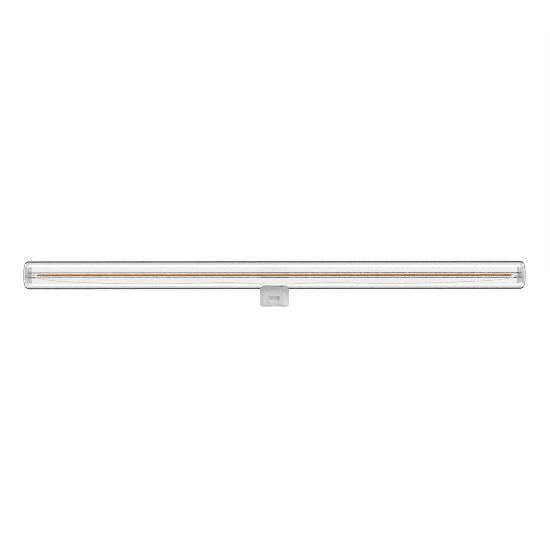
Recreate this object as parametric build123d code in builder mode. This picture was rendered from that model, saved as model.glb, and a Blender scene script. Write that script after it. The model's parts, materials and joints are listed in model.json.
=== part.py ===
from build123d import *
import os
from math import asin, atan2, cos, degrees, pi, radians, sin, tan

# Linear LED tube lamp: a clear domed glass tube carried by one plug-in cap under its middle.
# X runs along the tube, Z points up, and the origin lies on the contact plane below the cap's middle.

# Glass envelope
tube_length = 500.0
tube_diameter = 28.0
tube_wall = 1.4
dome_depth = 6.2
dome_knuckle = 5.0
wire_hole = 8.0

# Slim glass tube around the filament; every setback is measured in from the envelope's tip
filament_tube_diameter = 5.6
filament_tube_wall = 0.6
filament_tube_setback = 4.3
filament_tube_edge = 0.25

# LED filament and the stiff pins at its ends
filament_setback = 14.3
filament_width = 2.0
filament_thickness = 1.1
filament_edge = 0.45
pin_diameter = 0.5
pin_embed = 2.0
pin_end_gap = 0.15

# Plugs that seat the slim tube in the domed ends
plug_setback = 8.65
plug_diameter = 16.2
plug_edge = 0.3
plug_seat_clearance = 0.05
plug_stop = 0.5
plug_groove_width = 1.2
plug_groove_depth = 0.9
plug_groove_offset = 3.1
plug_slot_clearance = 0.1

# Ferrules and leads; the pins turn back beside the slim tube, this far round from below to the front
return_angle = 50.0
crimp_diameter = 1.5
crimp_length = 2.4
crimp_bore_clearance = 0.05
crimp_tube_gap = 0.15
crimp_plug_gap = 0.8
lead_diameter = 0.4
lead_pitch = 2.4
lead_pad_pitch = 3.4
lead_run_out = 2.6
lead_drop_in = 1.6
arc_share = 0.45

# Cap housing
cap_width = 28.7
cap_depth = 17.4
cap_corner = 6.2
cap_edge = 1.5
lip_edge = 0.2
rim_wall = 1.8
seat_ledge = 0.8
saddle_wall = 1.6
bond_thickness = 0.2
bond_inset = 0.8

# Latch window and the raised frame around it, on the front and on the back
latch_width = 10.0
latch_height = 4.5
latch_top = 10.5
latch_depth = 0.9
latch_ramp = 0.15
latch_web = 2.1
frame_border = 1.8
frame_relief = 0.4
frame_edge = 0.2
frame_lead_in = 2.2
tongue_width = 10.0
tongue_taper = 2.6

# Base plate and contact strips
base_thickness = 1.8
base_clearance = 0.1
contact_inset = 6.5
contact_width = 4.6
contact_thickness = 0.5
contact_proud = 0.35
contact_bend = 0.3
contact_leg_gap = 1.1
contact_hook = 0.5
tail_width = 2.4
tail_tip_width = 1.2
slot_clearance = 0.1

# Driver board and what it carries
board_thickness = 1.0
board_clearance = 0.3
board_post = 2.2
board_headroom = 3.5
board_hole_clearance = 0.15
chip_length = 4.8
chip_width = 3.9
chip_height = 1.4
chip_standoff = 0.1
chip_bevel = 0.25
chip_offset = 6.3
leg_thickness = 0.2
leg_width = 0.45
leg_reach = 0.6
leg_foot = 0.6
bridge_pitch = 2.54
driver_pitch = 1.27
resistor_length = 3.2
resistor_width = 1.6
resistor_height = 0.55
resistor_edge = 0.08
resistor_offset = 4.2
capacitor_diameter = 6.3
capacitor_length = 8.5
capacitor_start = -0.8
capacitor_edge = 0.4
capacitor_groove = 0.3
capacitor_groove_offset = 1.4
capacitor_gap = 2.2
capacitor_lead_pitch = 2.5
fuse_diameter = 2.5
fuse_length = 6.2
fuse_edge = 0.6
fuse_offset = -4.6
component_standoff = 0.2
component_lead = 0.5
component_lead_reach = 1.3
component_lead_bend = 0.7
solder_stand = 0.4

# Grommet through the glass and the saddle
grommet_clearance = 0.1
grommet_bore = 4.4
grommet_collar = 1.0
grommet_collar_height = 0.8
grommet_stand = 0.8

# Heights, stacked up from the contact plane to the tube's axis
cap_bottom = contact_proud
base_bottom = contact_thickness
base_top = base_bottom + base_thickness
board_bottom = base_top + capacitor_gap + capacitor_diameter + component_standoff
board_top = board_bottom + board_thickness
saddle_bottom = board_top + board_headroom
tube_radius = tube_diameter / 2
inner_radius = tube_radius - tube_wall
saddle_radius = tube_radius + bond_thickness
saddle_under_radius = saddle_radius + saddle_wall
axis_height = saddle_bottom + saddle_under_radius
solder_top = board_top + solder_stand

# Walls and hollows of the cap
face_wall = latch_depth - frame_relief + latch_web
cavity_width = cap_width - 2 * (rim_wall + seat_ledge)
cavity_depth = cap_depth - 2 * face_wall
rebate_width = cap_width - 2 * rim_wall
rebate_depth = cap_depth - 2 * rim_wall
rebate_corner = cap_corner - rim_wall
cavity_corner = rebate_corner - seat_ledge

# Contacts stand as far in from both sides of the cap; their legs are inside the hollow, clear of its walls
contact_spacing = cap_width - 2 * contact_inset
leg_outer_y = cavity_depth / 2 - contact_leg_gap
leg_inner_y = leg_outer_y - contact_thickness
leg_middle_y = (leg_outer_y + leg_inner_y) / 2

# Places along the tube
tip = tube_length / 2
straight_end = tip - dome_depth
filament_tube_end = tip - filament_tube_setback
filament_end = tip - filament_setback
plug_face = tip - plug_setback
crimp_outer = plug_face - crimp_plug_gap
crimp_inner = crimp_outer - crimp_length
crimp_middle = (crimp_outer + crimp_inner) / 2

# The return run of each pin, parallel to the axis
filament_tube_radius = filament_tube_diameter / 2
return_drop = filament_tube_radius + crimp_tube_gap + crimp_diameter / 2
return_y = -return_drop * sin(radians(return_angle))
return_z = axis_height - return_drop * cos(radians(return_angle))

# Each dome is a knuckle arc that runs into a crown arc, tangent to the straight tube and to each other
crown_radius = ((tube_radius - dome_knuckle) ** 2 + dome_depth**2 - dome_knuckle**2) / (
    2 * (dome_depth - dome_knuckle)
)
crown_angle = degrees(atan2(tube_radius - dome_knuckle, crown_radius - dome_depth))

tube_plane = Plane(origin=(0, 0, axis_height), x_dir=(1, 0, 0), z_dir=(0, -1, 0))
tube_axis = Axis((0, 0, axis_height), (1, 0, 0))


def end_arcs(inset):
    """Draw the right-hand dome's two arcs, inset from the outside of the glass."""
    CenterArc((straight_end, tube_radius - dome_knuckle), dome_knuckle - inset, 90, crown_angle - 90)
    CenterArc((tip - crown_radius, 0), crown_radius - inset, crown_angle, -crown_angle)


def envelope_half(inset):
    """Half outline of the domed tube, inset from the outside of the glass, to turn about the axis."""
    with BuildSketch(tube_plane) as half:
        with BuildLine():
            Line((0, tube_radius - inset), (straight_end, tube_radius - inset))
            end_arcs(inset)
            mirror(about=Plane.YZ)
            Line((inset - tip, 0), (tip - inset, 0))
        make_face()
    return half.sketch


# Glass envelope: one blown tube, drilled from below for the leads
with BuildPart() as glass_envelope:
    add(envelope_half(0))
    revolve(axis=tube_axis)
    add(envelope_half(tube_wall))
    revolve(axis=tube_axis, mode=Mode.SUBTRACT)
    with BuildSketch(Plane.XY.offset(axis_height)):
        Circle(wire_hole / 2)
    extrude(amount=-tube_diameter, mode=Mode.SUBTRACT)

# Slim glass tube with fire-polished ends
with BuildPart() as filament_tube:
    with BuildSketch(Plane.YZ):
        with Locations((0, axis_height)):
            Circle(filament_tube_radius)
            Circle(filament_tube_radius - filament_tube_wall, mode=Mode.SUBTRACT)
    extrude(amount=filament_tube_end, both=True)
    fillet(filament_tube.edges().filter_by(GeomType.CIRCLE), filament_tube_edge)

# LED filament, wide side to the front, with a hole in each end for its pin
with BuildPart() as led_filament:
    with BuildSketch(Plane.YZ):
        with Locations((0, axis_height)):
            RectangleRounded(filament_thickness, filament_width, filament_edge)
    extrude(amount=filament_end, both=True)
    for side in (-1, 1):
        with BuildSketch(Plane.YZ.offset(side * filament_end)):
            with Locations((0, axis_height)):
                Circle(pin_diameter / 2)
        extrude(amount=-side * pin_embed, mode=Mode.SUBTRACT)

# Pin: out of the filament along the axis, round behind the slim tube's end and back into the ferrule
turn_x = filament_tube_end + pin_end_gap
with BuildPart() as filament_pin_right:
    with BuildLine() as pin_path:
        Line((filament_end - pin_embed, 0, axis_height), (turn_x, 0, axis_height))
        ThreePointArc(
            (turn_x, 0, axis_height),
            (turn_x + return_drop / 2, return_y / 2, (axis_height + return_z) / 2),
            (turn_x, return_y, return_z),
        )
        Line((turn_x, return_y, return_z), (crimp_middle, return_y, return_z))
    with BuildSketch(Plane(origin=pin_path.line @ 0, z_dir=pin_path.line % 0)):
        Circle(pin_diameter / 2)
    sweep()

with BuildPart() as filament_pin_left:
    mirror(filament_pin_right.part, about=Plane.YZ)

# Six-sided ferrule that joins the pin to the lead
with BuildPart() as crimp_right:
    with BuildSketch(Plane.YZ.offset(crimp_inner)):
        with Locations((return_y, return_z)):
            RegularPolygon(crimp_diameter / 2, 6)
            Circle(pin_diameter / 2 + crimp_bore_clearance, mode=Mode.SUBTRACT)
    extrude(amount=crimp_length)

with BuildPart() as crimp_left:
    mirror(crimp_right.part, about=Plane.YZ)

# End plug: cast against the dome, with a stepped bore for the slim tube and a slot for the pin's way back
plug_radius = plug_diameter / 2
crown_inner_radius = crown_radius - tube_wall
plug_rim_angle = degrees(asin(plug_radius / crown_inner_radius))
plug_rim = tip - crown_radius + crown_inner_radius * cos(radians(plug_rim_angle))
with BuildPart() as end_plug_right:
    with BuildSketch(tube_plane) as plug_half:
        with BuildLine():
            Polyline(
                (tip - tube_wall, 0),
                (plug_face, 0),
                (plug_face, plug_radius),
                (plug_rim, plug_radius),
            )
            CenterArc((tip - crown_radius, 0), crown_inner_radius, plug_rim_angle, -plug_rim_angle)
        make_face()
        fillet(plug_half.vertices().group_by(Axis.X)[0].sort_by(Axis.Z)[-1], plug_edge)
        with Locations((plug_face + plug_groove_offset, plug_radius)):
            Rectangle(plug_groove_width, 2 * plug_groove_depth, mode=Mode.SUBTRACT)
    revolve(axis=tube_axis)
    with BuildSketch(Plane.YZ.offset(plug_face)):
        with Locations((0, axis_height)):
            Circle(filament_tube_radius + plug_seat_clearance)
    extrude(amount=filament_tube_end - plug_face, mode=Mode.SUBTRACT)
    with BuildSketch(Plane.YZ.offset(plug_face)):
        with Locations((0, axis_height)):
            Circle(filament_tube_radius - plug_stop)
            Rectangle(
                pin_diameter + 2 * plug_slot_clearance,
                return_drop + pin_diameter / 2 + plug_slot_clearance,
                rotation=-return_angle,
                align=(Align.CENTER, Align.MAX),
            )
    extrude(amount=plug_setback, mode=Mode.SUBTRACT)

with BuildPart() as end_plug_left:
    mirror(end_plug_right.part, about=Plane.YZ)

# Leads, from each ferrule to the grommet. Each point is a share of the way out to the ferrule, then
# shares of the tube's inner radius towards the front and below the axis.
lead_route_right = [
    (0.962, 0.187, 0.310),
    (0.911, 0.206, 0.417),
    (0.823, 0.238, 0.500),
    (0.680, 0.270, 0.600),
    (0.512, 0.286, 0.659),
    (0.370, 0.270, 0.627),
    (0.260, 0.238, 0.579),
    (0.160, 0.190, 0.603),
    (0.088, 0.127, 0.675),
    (0.034, 0.055, 0.778),
    (0.007, 0.008, 0.889),
]
lead_route_left = [
    (0.970, 0.187, 0.317),
    (0.911, 0.206, 0.452),
    (0.827, 0.238, 0.540),
    (0.684, 0.270, 0.639),
    (0.516, 0.286, 0.694),
    (0.365, 0.270, 0.643),
    (0.252, 0.238, 0.575),
    (0.160, 0.190, 0.571),
    (0.084, 0.127, 0.679),
    (0.034, 0.055, 0.778),
    (0.007, 0.008, 0.889),
]


def lead_points(route, side):
    """Corners of a lead on one side of the lamp, from inside its ferrule to its pad on the board."""
    points = [
        Vector(side * crimp_middle, return_y, return_z),
        Vector(side * (crimp_inner - lead_run_out), return_y, return_z),
    ]
    for out, front, below in route:
        points.append(
            Vector(side * out * crimp_inner, -front * inner_radius, axis_height - below * inner_radius)
        )
    drop_z = axis_height - inner_radius - lead_drop_in
    points.append(Vector(side * lead_pitch / 2, 0, drop_z))
    points.append(Vector(side * lead_pad_pitch / 2, 0, (drop_z + board_top) / 2))
    points.append(Vector(side * lead_pad_pitch / 2, 0, board_top))
    return points


def bend_radii(points):
    """Largest arc that the two runs at each corner leave room for."""
    radii = []
    for before, corner, after in zip(points, points[1:], points[2:]):
        run_in = corner - before
        run_out = after - corner
        shorter = min(run_in.length, run_out.length)
        radii.append(arc_share * shorter / tan(radians(run_in.get_angle(run_out)) / 2))
    return radii


def lead_wire(name, route, side):
    """One lead as a round wire along straight runs joined by tangent arcs."""
    points = lead_points(route, side)
    radii = bend_radii(points)
    with BuildPart() as wire:
        with BuildLine() as path:
            FilletPolyline(*points, radius=radii)
        with BuildSketch(Plane(origin=path.line @ 0, z_dir=path.line % 0)):
            Circle(lead_diameter / 2)
        sweep()
    expected = pi * lead_diameter**2 / 4 * path.wires()[0].length
    print(name, "radii", [round(radius, 1) for radius in radii])
    print(name, "volume", round(wire.part.volume, 3), "section times length", round(expected, 3))
    return wire


lead_wire_right = lead_wire("lead_wire_right", lead_route_right, 1)
lead_wire_left = lead_wire("lead_wire_left", lead_route_left, -1)

# Grommet with a collar under the saddle
grommet_radius = wire_hole / 2 - grommet_clearance
grommet_top = axis_height - inner_radius + grommet_stand
with BuildPart() as wire_grommet:
    with BuildSketch(Plane.XY.offset(saddle_bottom)):
        Circle(grommet_radius)
    extrude(amount=grommet_top - saddle_bottom)
    with BuildSketch(Plane.XY.offset(saddle_bottom)):
        Circle(grommet_radius + grommet_collar)
    extrude(amount=-grommet_collar_height)
    with BuildSketch(Plane.XY.offset(grommet_top)):
        Circle(grommet_bore / 2)
    extrude(until=Until.LAST, dir=(0, 0, -1), mode=Mode.SUBTRACT)

# Adhesive between the saddle and the glass
with BuildPart() as saddle_bond:
    with BuildSketch(Plane.XY.offset(saddle_bottom)):
        RectangleRounded(cap_width - 2 * bond_inset, cap_depth - 2 * bond_inset, cap_corner - bond_inset)
        Circle(wire_hole / 2, mode=Mode.SUBTRACT)
    extrude(amount=axis_height - saddle_bottom)
    with BuildSketch(Plane.YZ):
        with Locations((0, axis_height)):
            Circle(saddle_radius)
            Circle(tube_radius, mode=Mode.SUBTRACT)
    extrude(amount=cap_width, both=True, mode=Mode.INTERSECT)

# Hollow of the cap: its roof follows the saddle, and a post in each corner stops the board
with BuildPart() as cap_hollow:
    with BuildSketch(Plane.XY.offset(base_top)):
        RectangleRounded(cavity_width, cavity_depth, cavity_corner)
    extrude(amount=axis_height - base_top)
    with BuildSketch(Plane.YZ):
        with Locations((0, axis_height)):
            Circle(saddle_under_radius)
    extrude(amount=cap_width, both=True, mode=Mode.SUBTRACT)
    with BuildSketch(Plane.XY.offset(board_top)):
        with GridLocations(cavity_width - board_post, cavity_depth - board_post, 2, 2):
            Rectangle(board_post, board_post)
    extrude(amount=axis_height - board_top, mode=Mode.SUBTRACT)
    with BuildSketch(Plane.XY.offset(cap_bottom)):
        RectangleRounded(rebate_width, rebate_depth, rebate_corner)
    extrude(amount=base_top - cap_bottom)

# Raised frames with a tongue below that leads a latch in
frame_bottom = cap_bottom + cap_edge
frame_half = latch_width / 2 + frame_border
latch_bottom = latch_top - latch_height
with BuildPart() as latch_frames:
    with BuildSketch(Plane.XZ.offset(cap_depth / 2)):
        with BuildLine():
            Polyline(
                (0, latch_top + frame_border),
                (frame_half, latch_top + frame_border),
                (frame_half, latch_bottom + frame_border / 2),
                (tongue_width / 2, latch_bottom + frame_border / 2 - tongue_taper),
                (tongue_width / 2, frame_bottom),
                (0, frame_bottom),
            )
            mirror(about=Plane.YZ)
        make_face()
    extrude(amount=frame_relief)
    with BuildSketch(Plane.YZ):
        with BuildLine():
            Polyline(
                (-cap_depth / 2, frame_bottom),
                (-cap_depth / 2 - frame_relief, frame_bottom + frame_lead_in),
                (-cap_depth / 2 - frame_relief, frame_bottom),
                close=True,
            )
        make_face()
    extrude(amount=cap_width, both=True, mode=Mode.SUBTRACT)
    outline = latch_frames.faces().sort_by(Axis.Y)[0].edges().sort_by(Axis.Z)
    fillet(outline[1:], frame_edge)
    mirror(about=Plane.XZ)

# Latch windows: square above and at the sides, with a ramp below
window_face = cap_depth / 2 + frame_relief
window_floor = window_face - latch_depth
with BuildPart() as latch_windows:
    with BuildSketch(Plane.YZ):
        with BuildLine():
            Polyline(
                (-window_face - frame_relief, latch_top),
                (-window_floor, latch_top),
                (-window_floor, latch_bottom + latch_ramp),
                (-window_face, latch_bottom),
                (-window_face - frame_relief, latch_bottom),
                close=True,
            )
        make_face()
    extrude(amount=latch_width / 2, both=True)
    mirror(about=Plane.XZ)

# Cap body: one moulding, its top cut to the tube's curve, open below for the base plate
with BuildPart() as cap_body:
    with BuildSketch(Plane.XY.offset(cap_bottom)):
        RectangleRounded(cap_width, cap_depth, cap_corner)
    extrude(amount=axis_height - cap_bottom)
    fillet(cap_body.faces().sort_by(Axis.Z)[0].edges(), cap_edge)
    with BuildSketch(Plane.YZ):
        with Locations((0, axis_height)):
            Circle(saddle_radius)
    extrude(amount=cap_width, both=True, mode=Mode.SUBTRACT)
    fillet(cap_body.faces().sort_by(Axis.Z)[-1].edges(), lip_edge)
    add(latch_frames.part)
    add(latch_windows.part, mode=Mode.SUBTRACT)
    add(cap_hollow.part, mode=Mode.SUBTRACT)
    with BuildSketch(Plane.XY.offset(saddle_bottom)):
        Circle(wire_hole / 2)
    extrude(amount=axis_height - saddle_bottom, mode=Mode.SUBTRACT)

# Base plate, slotted for the legs of the contacts
with BuildPart() as cap_base:
    with BuildSketch(Plane.XY.offset(base_bottom)):
        RectangleRounded(
            rebate_width - 2 * base_clearance,
            rebate_depth - 2 * base_clearance,
            rebate_corner - base_clearance,
        )
        slot_depth = contact_thickness + contact_bend + 2 * slot_clearance
        slot_middle = leg_outer_y + slot_clearance - slot_depth / 2
        with GridLocations(contact_spacing, 2 * slot_middle, 2, 2):
            Rectangle(contact_width + 2 * slot_clearance, slot_depth, mode=Mode.SUBTRACT)
    extrude(amount=base_thickness)


def contact_strip(side):
    """Folded strip: flat foot, a short hooked leg in front and a long soldering tail behind."""
    with BuildPart() as strip:
        with BuildSketch(Plane.YZ.offset(side * contact_spacing / 2)) as fold:
            with BuildLine():
                Polyline(
                    (-leg_outer_y, base_top + contact_hook),
                    (-leg_outer_y, 0),
                    (leg_outer_y, 0),
                    (leg_outer_y, solder_top),
                    (leg_inner_y, solder_top),
                    (leg_inner_y, contact_thickness),
                    (-leg_inner_y, contact_thickness),
                    (-leg_inner_y, base_top + contact_hook),
                    close=True,
                )
            make_face()
            fillet(fold.vertices().group_by(Axis.Y)[0], contact_bend + contact_thickness)
        extrude(amount=contact_width / 2, both=True)
        inner_corners = strip.edges().filter_by(Axis.X).filter_by_position(
            Axis.Z, contact_thickness - contact_bend / 2, contact_thickness + contact_bend / 2
        )
        fillet(inner_corners, contact_bend)
        with BuildSketch(Plane.XZ.offset(-leg_inner_y)):
            with Locations((side * contact_spacing / 2, base_top + contact_hook)):
                Rectangle(contact_width, solder_top, align=(Align.CENTER, Align.MIN))
                Rectangle(
                    tail_width,
                    board_bottom - base_top - contact_hook,
                    align=(Align.CENTER, Align.MIN),
                    mode=Mode.SUBTRACT,
                )
                Rectangle(tail_tip_width, solder_top, align=(Align.CENTER, Align.MIN), mode=Mode.SUBTRACT)
        extrude(amount=-contact_thickness, mode=Mode.SUBTRACT)
    return strip


contact_left = contact_strip(-1)
contact_right = contact_strip(1)

# Driver board, slotted for the contact tails and drilled for the component leads
lead_hole = component_lead + 2 * board_hole_clearance
capacitor_lead_x = capacitor_start - component_lead_reach
fuse_lead_y = fuse_length / 2 + component_lead_reach
with BuildPart() as driver_board:
    with BuildSketch(Plane.XY.offset(board_bottom)):
        RectangleRounded(
            cavity_width - 2 * board_clearance,
            cavity_depth - 2 * board_clearance,
            cavity_corner - board_clearance,
        )
        with Locations((-contact_spacing / 2, leg_middle_y), (contact_spacing / 2, leg_middle_y)):
            Rectangle(
                tail_tip_width + 2 * board_hole_clearance,
                contact_thickness + 2 * board_hole_clearance,
                mode=Mode.SUBTRACT,
            )
        with Locations((capacitor_lead_x, 0)):
            with GridLocations(0, capacitor_lead_pitch, 1, 2):
                Circle(lead_hole / 2, mode=Mode.SUBTRACT)
        with Locations((fuse_offset, 0)):
            with GridLocations(0, 2 * fuse_lead_y, 1, 2):
                Circle(lead_hole / 2, mode=Mode.SUBTRACT)
    extrude(amount=board_thickness)


def gull_wing_chip(middle, legs, pitch):
    """Moulded package on the board's upper face, with a row of bent legs on its front and back."""
    leg_level = board_top + chip_standoff + chip_height / 2
    knee = chip_width / 2 + leg_reach
    with BuildPart() as chip:
        with BuildSketch(Plane.XY.offset(board_top + chip_standoff)):
            with Locations((middle, 0)):
                Rectangle(chip_length, chip_width)
        extrude(amount=chip_height)
        chamfer(chip.faces().sort_by(Axis.Z)[-1].edges(), chip_bevel)
        for leg in range(legs):
            leg_x = middle + (leg - (legs - 1) / 2) * pitch
            with BuildSketch(Plane.YZ.offset(leg_x)):
                with BuildLine():
                    Polyline(
                        (0, leg_level + leg_thickness),
                        (knee, leg_level + leg_thickness),
                        (knee, board_top + leg_thickness),
                        (knee + leg_foot, board_top + leg_thickness),
                        (knee + leg_foot, board_top),
                        (knee - leg_thickness, board_top),
                        (knee - leg_thickness, leg_level),
                        (0, leg_level),
                    )
                    mirror(about=Plane.YZ)
                make_face()
            extrude(amount=leg_width / 2, both=True)
    return chip


bridge_rectifier = gull_wing_chip(-chip_offset, 2, bridge_pitch)
driver_chip = gull_wing_chip(chip_offset, 4, driver_pitch)

# Two chip resistors, front and back
with BuildPart() as chip_resistors:
    with BuildSketch(Plane.XY.offset(board_top)):
        with GridLocations(0, 2 * resistor_offset, 1, 2):
            Rectangle(resistor_length, resistor_width)
    extrude(amount=resistor_height)
    fillet(chip_resistors.edges().group_by(Axis.Z)[-1], resistor_edge)

# Smoothing capacitor lying under the board, with its two leads bent up through it
capacitor_z = board_bottom - component_standoff - capacitor_diameter / 2
with BuildPart() as smoothing_capacitor:
    with BuildSketch(Plane.YZ.offset(capacitor_start)):
        with Locations((0, capacitor_z)):
            Circle(capacitor_diameter / 2)
    extrude(amount=capacitor_length)
    fillet(smoothing_capacitor.edges().filter_by(GeomType.CIRCLE), capacitor_edge)
    with BuildSketch(Plane.YZ.offset(capacitor_start + capacitor_groove_offset)):
        with Locations((0, capacitor_z)):
            Circle(capacitor_diameter / 2)
            Circle(capacitor_diameter / 2 - capacitor_groove, mode=Mode.SUBTRACT)
    extrude(amount=capacitor_groove, mode=Mode.SUBTRACT)
    for lead_y in (-capacitor_lead_pitch / 2, capacitor_lead_pitch / 2):
        with BuildLine() as capacitor_lead:
            FilletPolyline(
                (capacitor_start, lead_y, capacitor_z),
                (capacitor_lead_x, lead_y, capacitor_z),
                (capacitor_lead_x, lead_y, solder_top),
                radius=component_lead_bend,
            )
        with BuildSketch(Plane(origin=capacitor_lead.line @ 0, z_dir=capacitor_lead.line % 0)):
            Circle(component_lead / 2)
        sweep()

# Fuse resistor under the board, with a lead at each end
fuse_z = board_bottom - component_standoff - fuse_diameter / 2
with BuildPart() as fuse_resistor:
    with BuildSketch(Plane.XZ):
        with Locations((fuse_offset, fuse_z)):
            Circle(fuse_diameter / 2)
    extrude(amount=fuse_length / 2, both=True)
    fillet(fuse_resistor.edges().filter_by(GeomType.CIRCLE), fuse_edge)
    for side in (-1, 1):
        with BuildLine() as fuse_lead:
            FilletPolyline(
                (fuse_offset, side * fuse_length / 2, fuse_z),
                (fuse_offset, side * fuse_lead_y, fuse_z),
                (fuse_offset, side * fuse_lead_y, solder_top),
                radius=component_lead_bend,
            )
        with BuildSketch(Plane(origin=fuse_lead.line @ 0, z_dir=fuse_lead.line % 0)):
            Circle(component_lead / 2)
        sweep()

pieces = {
    "glass_envelope": glass_envelope,
    "filament_tube": filament_tube,
    "led_filament": led_filament,
    "filament_pin_left": filament_pin_left,
    "filament_pin_right": filament_pin_right,
    "crimp_left": crimp_left,
    "crimp_right": crimp_right,
    "end_plug_left": end_plug_left,
    "end_plug_right": end_plug_right,
    "lead_wire_left": lead_wire_left,
    "lead_wire_right": lead_wire_right,
    "wire_grommet": wire_grommet,
    "saddle_bond": saddle_bond,
    "cap_body": cap_body,
    "cap_base": cap_base,
    "contact_left": contact_left,
    "contact_right": contact_right,
    "driver_board": driver_board,
    "bridge_rectifier": bridge_rectifier,
    "driver_chip": driver_chip,
    "chip_resistors": chip_resistors,
    "smoothing_capacitor": smoothing_capacitor,
    "fuse_resistor": fuse_resistor,
}

os.makedirs("parts", exist_ok=True)
for name, piece in pieces.items():
    piece.part.label = name
    export_step(piece.part, f"parts/{name}.step")
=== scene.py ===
"""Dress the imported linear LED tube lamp.

Clear glass, an amber filament, translucent end plugs, fine leads and a grey moulded cap.
"""

from __future__ import annotations

import json
import logging
import math
from dataclasses import dataclass, field, replace
from enum import Enum
from typing import ClassVar, Mapping, NamedTuple, Optional, Sequence, Union

import bmesh
import bpy
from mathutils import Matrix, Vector

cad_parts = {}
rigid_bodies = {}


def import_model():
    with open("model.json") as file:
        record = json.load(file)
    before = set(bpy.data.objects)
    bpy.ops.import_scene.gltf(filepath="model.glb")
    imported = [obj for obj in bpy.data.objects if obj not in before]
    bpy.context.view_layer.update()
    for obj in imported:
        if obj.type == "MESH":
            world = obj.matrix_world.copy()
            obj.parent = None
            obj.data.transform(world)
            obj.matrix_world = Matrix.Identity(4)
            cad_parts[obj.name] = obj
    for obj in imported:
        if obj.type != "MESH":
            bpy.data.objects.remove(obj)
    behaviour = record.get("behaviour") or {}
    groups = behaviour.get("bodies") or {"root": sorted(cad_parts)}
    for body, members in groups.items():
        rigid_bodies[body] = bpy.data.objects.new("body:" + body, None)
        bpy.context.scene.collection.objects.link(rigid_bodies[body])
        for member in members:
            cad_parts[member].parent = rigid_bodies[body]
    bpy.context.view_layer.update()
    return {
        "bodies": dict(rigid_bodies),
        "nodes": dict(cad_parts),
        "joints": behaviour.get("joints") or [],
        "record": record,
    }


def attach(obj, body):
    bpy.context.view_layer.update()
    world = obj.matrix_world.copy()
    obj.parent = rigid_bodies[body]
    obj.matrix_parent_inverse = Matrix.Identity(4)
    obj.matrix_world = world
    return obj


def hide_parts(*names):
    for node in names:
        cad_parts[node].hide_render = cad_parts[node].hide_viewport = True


LOG = logging.getLogger("tube_lamp")
MM = 0.001
AXIS_HEIGHT = 31.3 * MM
NOISE_MIDDLE = 0.5
BODY = "root"

Colour = tuple[float, float, float]
Stretch = tuple[float, float, float]
ProfilePoint = tuple[float, float]

BLACK: Colour = (0.0, 0.0, 0.0)


class Step(NamedTuple):
    """A smooth rise, from 0 at the first value to 1 at the second."""

    low: float
    high: float


BEYOND_THE_LAMP = Step(1.0, 2.0)


class Side(Enum):
    """The two ends of the lamp, as the sign of X."""

    LEFT = -1
    RIGHT = 1

    @property
    def word(self) -> str:
        """The side as node names spell it."""
        return self.name.lower()


class Level(Enum):
    """Where a softbox hangs, as the sign of Z."""

    ABOVE = 1
    BELOW = -1


class Slot(Enum):
    """Material slots of the record, by name; nothing in the script reads them."""

    GLASS = "clear_glass"
    LEAD = "lead_copper"


class Ray(Enum):
    """What the Light Path node says of a ray."""

    CAMERA = "Is Camera Ray"
    SHADOW = "Is Shadow Ray"
    TRANSMISSION = "Is Transmission Ray"
    DIFFUSE_DEPTH = "Diffuse Depth"
    GLOSSY_DEPTH = "Glossy Depth"
    TRANSMISSION_DEPTH = "Transmission Depth"


class Signal:
    """A number on a node socket; arithmetic on it adds Math nodes to its tree."""

    def __init__(self, tree: "ShaderTree", socket: bpy.types.NodeSocket) -> None:
        """Keep the socket and the tree that it belongs to."""
        self.tree = tree
        self.socket = socket

    def _math(self, operation: str, *values: "Operand") -> "Signal":
        """Add one Math node.

        Args:
            operation: The Math node's operation.
            values: What its sockets take, in order.

        Returns:
            The node's result.
        """
        made = self.tree.node("ShaderNodeMath", {"operation": operation}, dict(enumerate(values)))
        return Signal(self.tree, made.outputs[0])

    def __add__(self, other: "Operand") -> "Signal":
        """Sum."""
        return self._math("ADD", self, other)

    __radd__ = __add__

    def __sub__(self, other: "Operand") -> "Signal":
        """Difference."""
        return self._math("SUBTRACT", self, other)

    def __rsub__(self, other: "Operand") -> "Signal":
        """Difference from a plain number."""
        return self._math("SUBTRACT", other, self)

    def __mul__(self, other: "Operand") -> "Signal":
        """Product."""
        return self._math("MULTIPLY", self, other)

    __rmul__ = __mul__

    def __gt__(self, other: "Operand") -> "Signal":
        """1 where this is larger."""
        return self._math("GREATER_THAN", self, other)

    def __abs__(self) -> "Signal":
        """Size without its sign."""
        return self._math("ABSOLUTE", self)

    def larger(self, other: "Operand") -> "Signal":
        """The larger of two numbers."""
        return self._math("MAXIMUM", self, other)

    def wave(self) -> "Signal":
        """Cosine."""
        return self._math("COSINE", self)

    def rise(self, low: "Operand", high: "Operand") -> "Signal":
        """Smooth step.

        Args:
            low: Where the step leaves 0.
            high: Where the step reaches 1.

        Returns:
            A number from 0 to 1.
        """
        made = self.tree.node(
            "ShaderNodeMapRange",
            {"interpolation_type": "SMOOTHSTEP"},
            {"Value": self, "From Min": low, "From Max": high},
        )
        return Signal(self.tree, made.outputs[0])


Operand = Union[Signal, float]


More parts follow.
